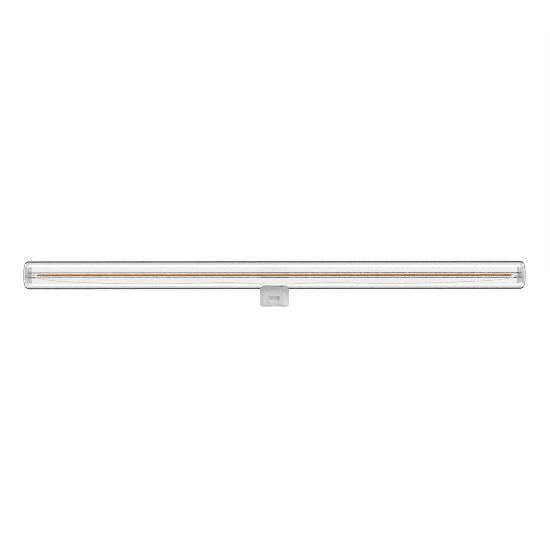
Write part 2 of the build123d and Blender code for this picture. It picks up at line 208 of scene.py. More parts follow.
class ShaderTree:
    """Adds nodes to one material's or world's tree.

    Attributes:
        colour_inputs: Numbers of a Mix node's sockets for colours, its factor first.
        colour_output: Number of its mixed colour.
    """

    colour_inputs: ClassVar[tuple[int, int, int]] = (0, 6, 7)
    colour_output: ClassVar[int] = 2

    def __init__(self, owner: Union[bpy.types.Material, bpy.types.World]) -> None:
        """Start an empty tree on the material or the world.

        Args:
            owner: What the tree belongs to.
        """
        owner.use_nodes = True
        self.tree = owner.node_tree
        self.tree.nodes.clear()

    def node(
        self,
        kind: str,
        settings: Optional[Mapping[str, object]] = None,
        inputs: Optional[Mapping[Union[str, int], object]] = None,
    ) -> bpy.types.Node:
        """Add a node.

        Args:
            kind: The node's type.
            settings: Its properties, set before its sockets.
            inputs: The value or link of each socket, by name or number.

        Returns:
            The node.
        """
        made = self.tree.nodes.new(kind)
        for name, value in (settings or {}).items():
            setattr(made, name, value)
        for key, value in (inputs or {}).items():
            socket = value.socket if isinstance(value, Signal) else value
            if isinstance(socket, bpy.types.NodeSocket):
                self.tree.links.new(socket, made.inputs[key])
            else:
                made.inputs[key].default_value = socket
        return made

    def place(self) -> bpy.types.NodeSocket:
        """Coordinates in the row's frame, in metres."""
        return self.node("ShaderNodeTexCoord").outputs["Object"]

    def axis(self, vector: bpy.types.NodeSocket, name: str) -> Signal:
        """One coordinate of a vector."""
        return Signal(self, self.node("ShaderNodeSeparateXYZ", inputs={0: vector}).outputs[name])

    def ray(self, kind: Ray) -> Signal:
        """A fact of the ray, as the Light Path node gives it."""
        return Signal(self, self.node("ShaderNodeLightPath").outputs[kind.value])

    def reached(self, kind: Ray, depth: int) -> Signal:
        """1 once the ray has taken that many bounces of a kind, as the count passes the half before it."""
        return self.ray(kind) > depth - 0.5

    def noise(self, stretch: Sequence[float], scale: float, detail: float = 3.0) -> Signal:
        """Fine cloudy variation.

        Args:
            stretch: Scale of the pattern along X, Y and Z.
            scale: Patches per metre before the stretch.
            detail: Octaves of finer pattern.

        Returns:
            A number from 0 to 1.
        """
        scaled = self.node(
            "ShaderNodeVectorMath", {"operation": "MULTIPLY"}, {0: self.place(), 1: tuple(stretch)}
        )
        made = self.node(
            "ShaderNodeTexNoise", inputs={"Vector": scaled.outputs[0], "Scale": scale, "Detail": detail}
        )
        return Signal(self, made.outputs["Fac"])

    def blend(self, share: Operand, first: object, second: object) -> bpy.types.NodeSocket:
        """Mix two colours.

        Args:
            share: How much of the second colour, from 0 to 1.
            first: A colour, or the socket of one.
            second: A colour, or the socket of one.

        Returns:
            The mixed colour's socket.
        """
        ends = [(*end, 1.0) if isinstance(end, tuple) else end for end in (first, second)]
        sockets = dict(zip(self.colour_inputs, (share, *ends)))
        return self.node("ShaderNodeMix", {"data_type": "RGBA"}, sockets).outputs[self.colour_output]

    def bump(self, height: Signal, depth: float) -> bpy.types.NodeSocket:
        """Normal of a surface raised by a height pattern, depth metres at most."""
        made = self.node("ShaderNodeBump", inputs={"Strength": 1.0, "Distance": depth, "Height": height})
        return made.outputs["Normal"]

    def mix_shaders(self, share: Operand, first: bpy.types.Node, second: bpy.types.Node) -> bpy.types.Node:
        """Mix two shaders, with the share of the second."""
        ends = {0: share, 1: first.outputs[0], 2: second.outputs[0]}
        return self.node("ShaderNodeMixShader", inputs=ends)

    def surface(self, shader: bpy.types.Node) -> None:
        """Make a shader the tree's result."""
        kind = "ShaderNodeOutputWorld" if shader.type == "BACKGROUND" else "ShaderNodeOutputMaterial"
        self.node(kind, inputs={"Surface": shader.outputs[0]})


@dataclass(frozen=True)
class Moulding:
    """An opaque surface with fine mottling, a slight sheen and a shallow grain.

    Attributes:
        name: The material's name.
        light: The lighter tone of the mottling.
        dark: The darker tone of the mottling.
        roughness: Mean roughness.
        roughness_spread: How far the grain moves the roughness.
        metallic: Metallic share.
        sheen: Specular level.
        grain_scale: Patches of grain per metre.
        grain_depth: Height of the grain, in metres.
        mottle: Patches of tone for each patch of grain.
        stretch: Scale of the pattern along X, Y and Z.
    """

    name: str
    light: Colour
    dark: Colour
    roughness: float
    roughness_spread: float = 0.08
    metallic: float = 0.0
    sheen: float = 0.5
    grain_scale: float = 900.0
    grain_depth: float = 8e-6
    mottle: float = 0.25
    stretch: Stretch = (1.0, 1.0, 1.0)

    def colour(self, tree: ShaderTree) -> bpy.types.NodeSocket:
        """Colour over the surface, between the light and the dark tone."""
        return tree.blend(tree.noise(self.stretch, self.grain_scale * self.mottle), self.light, self.dark)

    def sockets(self, tree: ShaderTree) -> dict[str, object]:
        """Work out what feeds the surface's shader.

        Args:
            tree: The material's tree.

        Returns:
            The value or link of each socket, by name.
        """
        grain = tree.noise(self.stretch, self.grain_scale)
        return {
            "Base Color": self.colour(tree),
            "Roughness": self.roughness + (grain - NOISE_MIDDLE) * self.roughness_spread,
            "Metallic": self.metallic,
            "Specular IOR Level": self.sheen,
            "Normal": tree.bump(grain, self.grain_depth),
        }

    def material(self) -> bpy.types.Material:
        """Make the finish.

        Returns:
            The new Blender material.
        """
        made = bpy.data.materials.new(self.name)
        tree = ShaderTree(made)
        tree.surface(tree.node("ShaderNodeBsdfPrincipled", inputs=self.sockets(tree)))
        return made


@dataclass(frozen=True)
class Phosphor(Moulding):
    """Amber coating of the filament, a little paler over each light chip under it."""

    mottle: float = 0.5
    chip_pitch: float = 3.0 * MM
    chip_share: float = 0.35
    chip_edge: Step = Step(0.2, 0.9)

    def colour(self, tree: ShaderTree) -> bpy.types.NodeSocket:
        """Colour along the filament, from the coating to the paler chips.

        Args:
            tree: The material's tree.

        Returns:
            The colour's socket.
        """
        along = tree.axis(tree.place(), "X") * (2 * math.pi / self.chip_pitch)
        chips = along.wave().rise(*self.chip_edge) * self.chip_share
        cloud = tree.noise(self.stretch, self.grain_scale * self.mottle) * (1 - self.chip_share)
        return tree.blend(chips + cloud, self.dark, self.light)


@dataclass(frozen=True)
class CapPlastic(Moulding):
    """Satin grey plastic, with shade painted towards the saddle and on the floors of the latch windows."""

    window_width: float = 10.0 * MM
    window_low: float = 6.0 * MM
    window_high: float = 10.5 * MM
    window_floor: float = 8.6 * MM
    # Painted shade on the window floors, and a painted shadow of the side wall at each floor's right end.
    window_shade_tone: Colour = (0.63, 0.63, 0.63)
    window_end_shadow_tone: Colour = (0.48, 0.48, 0.48)
    window_end: Step = Step(2.0 * MM, 3.6 * MM)
    edge: float = 0.05 * MM
    # Painted shade: over this height the moulding darkens towards the saddle, where the tube overhangs it.
    saddle: Step = Step(10.0 * MM, 21.0 * MM)
    saddle_shade_tone: Colour = (0.53, 0.53, 0.53)

    def colour(self, tree: ShaderTree) -> bpy.types.NodeSocket:
        """Colour over the moulding.

        Args:
            tree: The material's tree.

        Returns:
            The colour's socket, with shade painted towards the saddle and on the floors of the windows, and
            a painted shadow of the side wall at the right end of a floor as it is seen from its own side.
        """
        place = tree.place()
        along = tree.axis(place, "X")
        depth = tree.axis(place, "Y")
        height = tree.axis(place, "Z")
        across = 1 - abs(along).rise(self.window_width / 2, self.window_width / 2 + self.edge)
        behind = 1 - abs(depth).rise(self.window_floor, self.window_floor + self.edge)
        above = height.rise(self.window_low - self.edge, self.window_low)
        below = 1 - height.rise(self.window_high, self.window_high + self.edge)
        rightwards = along * (1 - (depth > 0) * 2)
        # Painted shade in the window recess, deepest at the right end as a painted shadow of the side wall.
        window = tree.blend(rightwards.rise(*self.window_end), self.window_shade_tone, self.window_end_shadow_tone)
        # Painted shade under the overhanging tube, growing towards the saddle.
        plain = tree.blend(height.rise(*self.saddle), super().colour(tree), self.saddle_shade_tone)
        return tree.blend(across * behind * above * below, plain, window)


@dataclass(frozen=True)
class Laminate(Moulding):
    """Board laminate: solder mask with the weave showing faintly and darker conductor tracks."""

    track_pitch: float = 2.6 * MM
    track_edge: Step = Step(0.3, 0.5)
    track: Colour = (0.05, 0.20, 0.10)

    def colour(self, tree: ShaderTree) -> bpy.types.NodeSocket:
        """Colour of the mask, darker over the tracks."""
        across = tree.axis(tree.place(), "Y") * (2 * math.pi / self.track_pitch)
        return tree.blend(across.wave().rise(*self.track_edge), super().colour(tree), self.track)


@dataclass(frozen=True, kw_only=True)
class Silicone(Moulding):
    """Soft translucent rubber: part of the light goes straight through."""

    cover: float
    cover_spread: float = 0.04
    cover_mottle: float = 1 / 3

    def cover_share(self, tree: ShaderTree) -> Signal:
        """How much of the light the rubber stops at a point."""
        cloud = tree.noise(self.stretch, self.grain_scale * self.cover_mottle)
        return self.cover + (cloud - NOISE_MIDDLE) * self.cover_spread

    def sockets(self, tree: ShaderTree) -> dict[str, object]:
        """What feeds the surface's shader, with its cover as Alpha."""
        return super().sockets(tree) | {"Alpha": self.cover_share(tree)}


@dataclass(frozen=True, kw_only=True)
class PlugSilicone(Silicone):
    """Rubber of the end plugs, clear where it is pressed to the slim tube."""

    seat: float = 2.9 * MM
    seat_edge: float = 0.1 * MM
    axis_height: float = AXIS_HEIGHT

    def cover_share(self, tree: ShaderTree) -> Signal:
        """How much of the light the rubber stops at a point.

        Args:
            tree: The material's tree.

        Returns:
            A number from 0, clear, to 1, opaque.
        """
        place = tree.place()
        front = tree.axis(place, "Y")
        above = tree.axis(place, "Z") - self.axis_height
        outside = (front * front + above * above).rise(self.seat**2, (self.seat + self.seat_edge) ** 2)
        return super().cover_share(tree) * outside


@dataclass(frozen=True)
class ClearGlass:
    """Drawn clear glass; where it is seen along its wall, a dark rim is painted into its colour in place of
    total reflection.

    Places are distances from the middle of the lamp, along it. Facing is 0 where the glass is seen square
    on and 1 where it is seen edge on.

    Attributes:
        name: The material's name.
        tint: Light that a surface passes.
        tint_spread: How much more of it the clearest streaks pass.
        refraction: Index of refraction.
        straight: Share of the light that goes on without being bent.
        rim: How dark the rim is along the lamp.
        rim_facing: Facing over which the rim comes in.
        shoulder: How dark the faint band inside the rim is.
        shoulder_facing: Facing over which that band comes in.
        shoulder_end: Place where that band fades out.
        end: Place where the rim of the ends takes over.
        end_rim: How dark that rim is.
        end_facing: Facing over which it comes in.
        seat: Place from which a plug backs the dome.
        seat_rim: How dark the rim is there.
        seat_widening: How much less facing it needs there.
        cap: Place where the stretch above the cap ends; there the rim is widened as a painted reflection of
            the cap.
        cap_reflection_widening: How much less facing the rim needs in that stretch.
        shade: Light that a surface passes into a shadow.
        draw_stretch: Scale of the drawing streaks along X, Y and Z.
        draw_scale: Streaks per metre before the stretch.
        draw_depth: Height of the streaks, in metres.
        wetted: Share of the light that goes straight on where a plug wets the glass.
        wetted_tint: Light that a surface passes there.
        wetted_from: Place from which a plug wets the glass.
    """

    name: str
    tint: float = 0.955
    tint_spread: float = 0.01
    refraction: float = 1.5
    straight: float = 0.0
    rim: float = 0.0
    rim_facing: Step = Step(0.55, 0.69)
    shoulder: float = 0.0
    shoulder_facing: Step = Step(0.30, 0.345)
    shoulder_end: Step = Step(243.0 * MM, 244.5 * MM)
    end: Step = BEYOND_THE_LAMP
    end_rim: float = 0.0
    end_facing: Step = Step(0.79, 0.86)
    seat: Step = Step(249.15 * MM, 249.3 * MM)
    seat_rim: float = 0.27
    seat_widening: float = 0.10
    cap: Step = Step(13.8 * MM, 14.2 * MM)
    cap_reflection_widening: float = 0.0
    shade: float = 0.90
    draw_stretch: Stretch = (0.01, 1.0, 1.0)
    draw_scale: float = 500.0
    draw_depth: float = 1.5e-7
    wetted: float = 0.0
    wetted_tint: float = 0.985
    wetted_from: Step = Step(244.0 * MM, 245.2 * MM)

    def rim_share(self, tree: ShaderTree) -> Signal:
        """How much of the painted dark rim shows at a point; the same rim also darkens shadows.

        Args:
            tree: The material's tree.

        Returns:
            A number from 0, clear, to 1, dark.
        """
        facing = Signal(tree, tree.node("ShaderNodeLayerWeight", inputs={"Blend": 0.5}).outputs["Facing"])
        along = abs(tree.axis(tree.place(), "X"))
        end = along.rise(*self.end)
        seated = along.rise(*self.seat)
        # Painted reflection: over the cap the rim is wider and darker, as if the cap showed in the glass.
        cap_reflection_stretch = 1 - along.rise(*self.cap)
        barrel = 1 - along.rise(*self.shoulder_end)
        widened = seated * self.seat_widening + cap_reflection_stretch * self.cap_reflection_widening
        low, high = (
            run + end * (tip - run) - widened for run, tip in zip(self.rim_facing, self.end_facing)
        )
        depth = self.rim + end * (self.end_rim - self.rim)
        depth = depth + seated * (self.seat_rim - depth)
        dark = facing.rise(low, high) * depth
        # Painted grey band just inside the rim, along the barrel.
        grey = facing.rise(*self.shoulder_facing) * barrel * self.shoulder
        return dark.larger(grey)

    def passing(self, tree: ShaderTree, share: float) -> bpy.types.Node:
        """Shader that lets a share of the light straight on, and none at the rim."""
        clear, rim = (
            tree.node("ShaderNodeBsdfTransparent", inputs={"Color": (tone, tone, tone, 1.0)})
            for tone in (share, 0.0)
        )
        return tree.mix_shaders(self.rim_share(tree), clear, rim)

    def material(self) -> bpy.types.Material:
        """Make the finish.

        Returns:
            The new Blender material.
        """
        made = bpy.data.materials.new(self.name)
        tree = ShaderTree(made)
        drawn = tree.noise(self.draw_stretch, self.draw_scale)
        clear = tree.blend(drawn, (self.tint,) * 3, (self.tint + self.tint_spread,) * 3)
        rimmed = self.rim or self.end_rim
        # Painted dark rim: the colour goes to black where the glass is seen edge on.
        colour = tree.blend(self.rim_share(tree), clear, BLACK) if rimmed else clear
        glass = tree.node(
            "ShaderNodeBsdfPrincipled",
            inputs={
                "Base Color": colour,
                "Roughness": 0.0,
                "IOR": self.refraction,
                "Transmission Weight": 1.0,
                "Normal": tree.bump(drawn, self.draw_depth),
            },
        )
        if self.straight:
            glass = tree.mix_shaders(self.straight, glass, self.passing(tree, self.tint))
        if self.wetted:
            wetted = abs(tree.axis(tree.place(), "X")).rise(*self.wetted_from)
            glass = tree.mix_shaders(wetted * self.wetted, glass, self.passing(tree, self.wetted_tint))
        tree.surface(tree.mix_shaders(tree.ray(Ray.SHADOW), glass, self.passing(tree, self.shade)))
        return made


class MeshTools:
    """Ways of making meshes that several pieces share."""

    pole_radius: ClassVar[float] = 1e-7

    @staticmethod
    def add_object(name: str, data: bpy.types.ID) -> bpy.types.Object:
        """Link a new object to the scene.

        Args:
            name: The object's name.
            data: Its mesh, curve, lamp or camera.

        Returns:
            The object.
        """
        made = bpy.data.objects.new(name, data)
        bpy.context.scene.collection.objects.link(made)
        return made

    @staticmethod
    def arc(centre: ProfilePoint, radius: float, start: float, end: float, steps: int) -> list[ProfilePoint]:
        """Points of an arc.

        Args:
            centre: The arc's centre.
            radius: Its radius.
            start: Angle of its first point, in degrees.
            end: Angle of its last point, in degrees.
            steps: How many chords it has.

        Returns:
            The points, both ends included.
        """
        angles = [math.radians(start + (end - start) * step / steps) for step in range(steps + 1)]
        return [(centre[0] + radius * math.cos(a), centre[1] + radius * math.sin(a)) for a in angles]

    @staticmethod
    def turn(
        bm: bmesh.types.BMesh,
        profile: Sequence[ProfilePoint],
        height: float,
        segments: int,
        material: int,
        closed: bool = False,
    ) -> None:
        """Turn a profile about an axis along X.

        Args:
            bm: The mesh that takes the faces.
            profile: Distance along the axis and radius of each point; with no radius it is a pole.
            height: Height of the axis.
            segments: Faces round the axis.
            material: Slot number of the faces.
            closed: Whether the last point joins the first.
        """
        rings: list[list[bmesh.types.BMVert]] = []
        for along, radius in profile:
            count = segments if radius > MeshTools.pole_radius else 1
            turns = [2 * math.pi * step / count for step in range(count)]
            rings.append(
                [bm.verts.new((along, radius * math.sin(t), height + radius * math.cos(t))) for t in turns]
            )
        pairs = list(zip(rings, rings[1:]))
        if closed:
            pairs.append((rings[-1], rings[0]))
        for one, two in pairs:
            for step in range(segments):
                following = (step + 1) % segments
                corners = [
                    one[step % len(one)],
                    two[step % len(two)],
                    two[following % len(two)],
                    one[following % len(one)],
                ]
                face = bm.faces.new(list(dict.fromkeys(corners)))
                face.material_index = material

    @staticmethod
    def finished(bm: bmesh.types.BMesh, name: str) -> bpy.types.Mesh:
        """Put what was built into a new mesh and free it.

        Args:
            bm: What was built.
            name: The mesh's name.

        Returns:
            The mesh.
        """
        mesh = bpy.data.meshes.new(name)
        bm.to_mesh(mesh)
        bm.free()
        return mesh

    @staticmethod
    def smooth(mesh: bpy.types.Mesh, crease: float = 35.0) -> None:
        """Shade a mesh smooth, with creases kept sharp.

        Args:
            mesh: The mesh.
            crease: Smallest angle between faces that stays an edge, in degrees.
        """
        mesh.polygons.foreach_set("use_smooth", [True] * len(mesh.polygons))
        mesh.set_sharp_from_angle(angle=math.radians(crease))


class NodeDresser:
    """Gives finishes to carried-over CAD nodes and places new pieces."""

    def __init__(self, frame: Mapping[str, Mapping[str, bpy.types.Object]]) -> None:
        """Keep the frame's nodes."""
        self.nodes = frame["nodes"]
        self.made: dict[str, bpy.types.Material] = {}

    def material(self, finish: Union[Moulding, ClearGlass]) -> bpy.types.Material:
        """The finish's material, made once.

        Args:
            finish: The finish.

        Returns:
            Its material, the same one each time.
        """
        if finish.name not in self.made:
            self.made[finish.name] = finish.material()
        return self.made[finish.name]

    def dress(self, node: str, finish: Moulding) -> None:
        """Put a finish on a CAD node.

        Args:
            node: The node's name.
            finish: What all of it gets.
        """
        slots = self.nodes[node].data.materials
        slots.clear()
        slots.append(self.material(finish))
        LOG.info("dressed %s with %s", node, finish.name)

    def stand_in(self, piece: bpy.types.Object, node: str) -> None:
        """Let a new piece take a CAD node's place.

        Args:
            piece: The new piece.
            node: The node that it stands for.
        """
        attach(piece, BODY)
        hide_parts(node)
        LOG.info("built %s for %s", piece.name, node)


@dataclass
class GlassEnvelope:
    """The blown tube: straight glass with a shallow dome at each end, drilled from below."""

    length: float = 500.0 * MM
    diameter: float = 28.0 * MM
    wall: float = 1.4 * MM
    dome_depth: float = 6.2 * MM
    knuckle: float = 5.0 * MM
    hole: float = 8.0 * MM
    hole_segments: int = 64
    axis_height: float = AXIS_HEIGHT
    segments: int = 256
    knuckle_steps: int = 20
    crown_steps: int = 36
    ring_spacing: float = 20.0 * MM
    hole_field: float = 12.0 * MM
    hole_rings: int = 12
    outside: ClearGlass = ClearGlass(
        "envelope_glass_outside",
        rim=0.95,
        shoulder=0.10,
        end=Step(246.2 * MM, 248.5 * MM),
        end_rim=0.95,
        wetted=0.92,
    )
    inside: ClearGlass = ClearGlass("envelope_glass_inside", wetted=0.9)

    @property
    def radius(self) -> float:
        """Outer radius."""
        return self.diameter / 2

    @property
    def straight(self) -> float:
        """Half the straight length."""
        return self.length / 2 - self.dome_depth

    def half_profile(self, inset: float) -> list[ProfilePoint]:
        """Right half of the outline, from the middle of the tube to the tip.

        Args:
            inset: Distance in from the outside of the glass.

        Returns:
            Points along the axis and out from it.
        """
        reach = self.radius - self.knuckle
        crown = (reach**2 + self.dome_depth**2 - self.knuckle**2) / (2 * (self.dome_depth - self.knuckle))
        turn = math.degrees(math.atan2(reach, crown - self.dome_depth))
        fine = [self.hole_field * ring / self.hole_rings for ring in range(self.hole_rings + 1)]
        count = math.ceil((self.straight - self.hole_field) / self.ring_spacing)
        run = (self.straight - self.hole_field) / count
        coarse = [self.hole_field + run * ring for ring in range(1, count)]
        points = [(along, self.radius - inset) for along in fine + coarse]
        tip = self.length / 2
        points += MeshTools.arc((self.straight, reach), self.knuckle - inset, 90, turn, self.knuckle_steps)
        points += MeshTools.arc((tip - crown, 0.0), crown - inset, turn, 0, self.crown_steps)[1:-1]
        return points + [(tip - inset, 0.0)]

    def shell(self) -> bpy.types.Mesh:
        """Mesh of the closed glass before drilling, the outside and the inside in slots of their own.

        Returns:
            The mesh.
        """
        bm = bmesh.new()
        for slot, inset in enumerate((0.0, self.wall)):
            half = self.half_profile(inset)
            profile = [(-along, out) for along, out in reversed(half)] + half[1:]
            if slot:
                profile.reverse()
            MeshTools.turn(bm, profile, self.axis_height, self.segments, slot)
        return MeshTools.finished(bm, "envelope")

    def drill(self, tube: bpy.types.Object) -> None:
        """Cut the wire hole.

        Args:
            tube: The undrilled tube, whose mesh is replaced.
        """
        bm = bmesh.new()
        bmesh.ops.create_cone(
            bm,
            cap_ends=True,
            segments=self.hole_segments,
            radius1=self.hole / 2,
            radius2=self.hole / 2,
            depth=self.radius,
        )
        bmesh.ops.translate(bm, verts=bm.verts, vec=(0, 0, self.axis_height - self.radius))
        drill = MeshTools.add_object("drill", MeshTools.finished(bm, "drill"))
        cut = tube.modifiers.new("hole", "BOOLEAN")
        cut.operation = "DIFFERENCE"
        cut.object = drill
        cut.solver = "EXACT"
        graph = bpy.context.evaluated_depsgraph_get()
        cut_mesh = bpy.data.meshes.new_from_object(tube.evaluated_get(graph))
        tube.modifiers.clear()
        tube.data = cut_mesh
        bpy.data.objects.remove(drill)

    def build(self, dresser: NodeDresser) -> None:
        """Make the tube and let it stand for its node.

        Args:
            dresser: The frame's nodes and finishes.
        """
        tube = MeshTools.add_object("clear_tube", self.shell())
        for finish in (self.outside, self.inside):
            tube.data.materials.append(dresser.material(finish))
        self.drill(tube)
        MeshTools.smooth(tube.data)
        dresser.stand_in(tube, "glass_envelope")


@dataclass
class FilamentTube:
    """The slim glass tube on the axis, with fire-polished ends."""

    diameter: float = 5.6 * MM
    wall: float = 0.6 * MM
    half_length: float = 245.7 * MM
    edge: float = 0.25 * MM
    edge_steps: int = 6
    axis_height: float = AXIS_HEIGHT
    segments: int = 160
    ring_spacing: float = 20.0 * MM
    glass: ClearGlass = ClearGlass(
        "filament_tube_glass",
        tint=0.985,
        straight=0.8,
        rim=1.0,
        rim_facing=Step(0.37, 0.46),
        end=Step(240.8 * MM, 241.4 * MM),
        end_rim=1.0,
        end_facing=Step(0.28, 0.36),
        # Painted reflection of the cap: the slim tube's rim is darker above it.
        cap_reflection_widening=0.075,
    )
    bore: ClearGlass = replace(glass, name="filament_tube_bore", rim=0.0)

    def profile(self) -> list[ProfilePoint]:
        """Closed outline of the wall.

        Returns:
            Points along the axis and out from it.
        """
        outer = self.diameter / 2
        inner = outer - self.wall
        start = self.half_length - self.edge
        count = math.ceil(2 * start / self.ring_spacing)
        steps = [-start + 2 * start * ring / count for ring in range(1, count)]
        points = MeshTools.arc((start, outer - self.edge), self.edge, 90, 0, self.edge_steps)
        points += MeshTools.arc((start, inner + self.edge), self.edge, 0, -90, self.edge_steps)
        points += [(along, inner) for along in reversed(steps)]
        points += MeshTools.arc((-start, inner + self.edge), self.edge, 270, 180, self.edge_steps)
        points += MeshTools.arc((-start, outer - self.edge), self.edge, 180, 90, self.edge_steps)
        return points + [(along, outer) for along in steps]

    def build(self, dresser: NodeDresser) -> None:
        """Make the tube, its outside and its bore in slots of their own, and let it stand for its node.

        Args:
            dresser: The frame's nodes and finishes.
        """
        bm = bmesh.new()
        MeshTools.turn(bm, self.profile(), self.axis_height, self.segments, 0, closed=True)
        bmesh.ops.recalc_face_normals(bm, faces=bm.faces)
        middle = (self.diameter - self.wall) / 2
        for face in bm.faces:
            centre = face.calc_center_median()
            face.material_index = int(math.hypot(centre.y, centre.z - self.axis_height) < middle)
        mesh = MeshTools.finished(bm, "slim_tube")
        for finish in (self.glass, self.bore):
            mesh.materials.append(dresser.material(finish))
        MeshTools.smooth(mesh)
        dresser.stand_in(MeshTools.add_object("slim_tube", mesh), "filament_tube")


@dataclass
class FilamentLine:
    """The filament with its pins and the ferrules that join them to the leads."""

    coating: Phosphor = Phosphor(
        "amber_coating",
        light=(0.66, 0.27, 0.004),
        dark=(0.57, 0.222, 0.002),
        roughness=0.6,
        sheen=0.15,
        grain_scale=1500.0,
    )
    pin: Moulding = Moulding(
        "pin_metal",
        light=(0.62, 0.58, 0.44),
        dark=(0.50, 0.46, 0.34),
        roughness=0.32,
        metallic=0.5,
        grain_scale=2500.0,
        grain_depth=2e-6,
    )
    ferrule: Moulding = Moulding(
        "ferrule_metal",
        light=(0.22, 0.14, 0.08),
        dark=(0.13, 0.08, 0.045),
        roughness=0.45,
        metallic=0.5,
        grain_scale=2500.0,
        grain_depth=4e-6,
    )

    def build(self, dresser: NodeDresser) -> None:
        """Dress the filament, the pins and the ferrules.

        Args:
            dresser: The frame's nodes and finishes.
        """
        dresser.dress("led_filament", self.coating)
        for side in Side:
            dresser.dress(f"filament_pin_{side.word}", self.pin)
            dresser.dress(f"crimp_{side.word}", self.ferrule)


@dataclass
class EndPlugs:
    """The translucent plugs that hold the slim tube in the domes."""

    rubber: PlugSilicone = PlugSilicone(
        name="plug_silicone",
        light=(0.50, 0.51, 0.51),
        dark=(0.45, 0.46, 0.46),
        roughness=0.5,
        grain_scale=800.0,
        cover=0.34,
    )

    def build(self, dresser: NodeDresser) -> None:
        """Dress both plugs."""
        for side in Side:
            dresser.dress(f"end_plug_{side.word}", self.rubber)


@dataclass
class Leads:
    """The two fine wires that sag from the ferrules to the board in the cap.

    A corner of a route is given in shares: of the way out to the ferrule, and of the glass's inner radius to
    the front and below the axis. A ferrule lies return_drop from the axis, return_angle degrees forward of
    straight down.
    """

    diameter: float = 0.4 * MM
    axis_height: float = AXIS_HEIGHT
    inner_radius: float = 12.6 * MM
    ferrule_middle: float = 239.35 * MM
    ferrule_inner: float = 238.15 * MM
    return_drop: float = 3.7 * MM
    return_angle: float = 50.0
    run_out: float = 2.6 * MM
    pitch: float = 2.4 * MM
    pad_pitch: float = 3.4 * MM
    drop_z: float = 17.1 * MM
    board_top: float = 12.0 * MM
    length: float = 246.0 * MM
    order: int = 3
    resolution: int = 12
    bevel_steps: int = 4
    wire: Moulding = Moulding(
        "lead_wire",
        light=(0.83, 0.69, 0.43),
        dark=(0.71, 0.57, 0.34),
        roughness=0.4,
        metallic=0.3,
        grain_scale=1500.0,
        grain_depth=1e-6,
    )
    routes: Mapping[Side, Sequence[tuple[float, float, float]]] = field(
        default_factory=lambda: {
            Side.RIGHT: [
                (0.962, 0.187, 0.310),
                (0.911, 0.206, 0.417),
                (0.823, 0.238, 0.500),
                (0.680, 0.270, 0.600),
                (0.512, 0.286, 0.659),
                (0.370, 0.270, 0.627),
                (0.260, 0.238, 0.579),
                (0.160, 0.190, 0.603),
                (0.088, 0.127, 0.675),
                (0.034, 0.055, 0.778),
                (0.006, 0.008, 0.868),
            ],
            Side.LEFT: [
                (0.970, 0.187, 0.317),
                (0.911, 0.206, 0.452),
                (0.827, 0.238, 0.540),
                (0.684, 0.270, 0.639),
                (0.516, 0.286, 0.694),
                (0.365, 0.270, 0.643),
                (0.252, 0.238, 0.575),
                (0.160, 0.190, 0.571),
                (0.084, 0.127, 0.679),
                (0.034, 0.055, 0.778),
                (0.006, 0.008, 0.868),
            ],
        }
    )

    def points(self, side: Side) -> list[Vector]:
        """Corners of one lead's route.

        Args:
            side: Which lead.

        Returns:
            The points from inside the ferrule to the pad on the board.
        """
        sign = side.value
        return_y = -self.return_drop * math.sin(math.radians(self.return_angle))
        return_z = self.axis_height - self.return_drop * math.cos(math.radians(self.return_angle))
        corners = [
            Vector((sign * self.ferrule_middle, return_y, return_z)),
            Vector((sign * (self.ferrule_inner - self.run_out), return_y, return_z)),
        ]
        for out, front, below in self.routes[side]:
            y = -front * self.inner_radius
            z = self.axis_height - below * self.inner_radius
            corners.append(Vector((sign * out * self.ferrule_inner, y, z)))
        corners.append(Vector((sign * self.pitch / 2, 0, self.drop_z)))
        corners.append(Vector((sign * self.pad_pitch / 2, 0, (self.drop_z + self.board_top) / 2)))
        corners.append(Vector((sign * self.pad_pitch / 2, 0, self.board_top)))
        return corners

    def build(self, dresser: NodeDresser) -> None:
        """Make both leads and let them stand for their nodes.

        Args:
            dresser: The frame's nodes and finishes.
        """
        for side in Side:
            name = f"lead_{side.word}"
            route = self.points(side)
            curve = bpy.data.curves.new(name, "CURVE")
            curve.dimensions = "3D"
            spline = curve.splines.new("NURBS")
            spline.points.add(len(route) - 1)
            for point, corner in zip(spline.points, route):
                point.co = (*corner, 1.0)
            spline.order_u = self.order
            spline.use_endpoint_u = True
            spline.resolution_u = self.resolution
            curve.bevel_depth = self.diameter / 2
            curve.bevel_resolution = self.bevel_steps
            curve.use_fill_caps = True
            curve.materials.append(dresser.material(self.wire))
            lead = MeshTools.add_object(name, curve)
            dresser.stand_in(lead, f"lead_wire_{side.word}")


@dataclass
class Cap:
    """The moulded cap with its base plate, contacts, grommet and the bond to the glass."""

    plastic: CapPlastic = CapPlastic(
        "cap_moulding",
        light=(0.71, 0.71, 0.71),
        dark=(0.67, 0.67, 0.67),
        roughness=0.5,
        grain_scale=2200.0,
        grain_depth=6e-6,
    )
    plating: Moulding = Moulding(
        "contact_plating",
        light=(0.74, 0.73, 0.71),
        dark=(0.58, 0.57, 0.55),
        roughness=0.3,
        metallic=1.0,
        grain_scale=1800.0,
        grain_depth=2e-6,
        stretch=(1.0, 0.1, 1.0),
    )
    sleeve: Silicone = Silicone(
        name="grommet_silicone",
        light=(0.62, 0.62, 0.62),
        dark=(0.52, 0.52, 0.52),
        roughness=0.45,
        cover=0.8,
    )
    bond: Silicone = Silicone(
        name="saddle_adhesive",
        light=(0.72, 0.72, 0.71),
        dark=(0.64, 0.64, 0.63),
        roughness=0.35,
        cover=0.7,
    )

    def build(self, dresser: NodeDresser) -> None:
        """Dress the cap's pieces.

        Args:
            dresser: The frame's nodes and finishes.
        """
        dresser.dress("cap_body", self.plastic)
        dresser.dress("cap_base", self.plastic)
        for side in Side:
            dresser.dress(f"contact_{side.word}", self.plating)
        dresser.dress("wire_grommet", self.sleeve)
        dresser.dress("saddle_bond", self.bond)


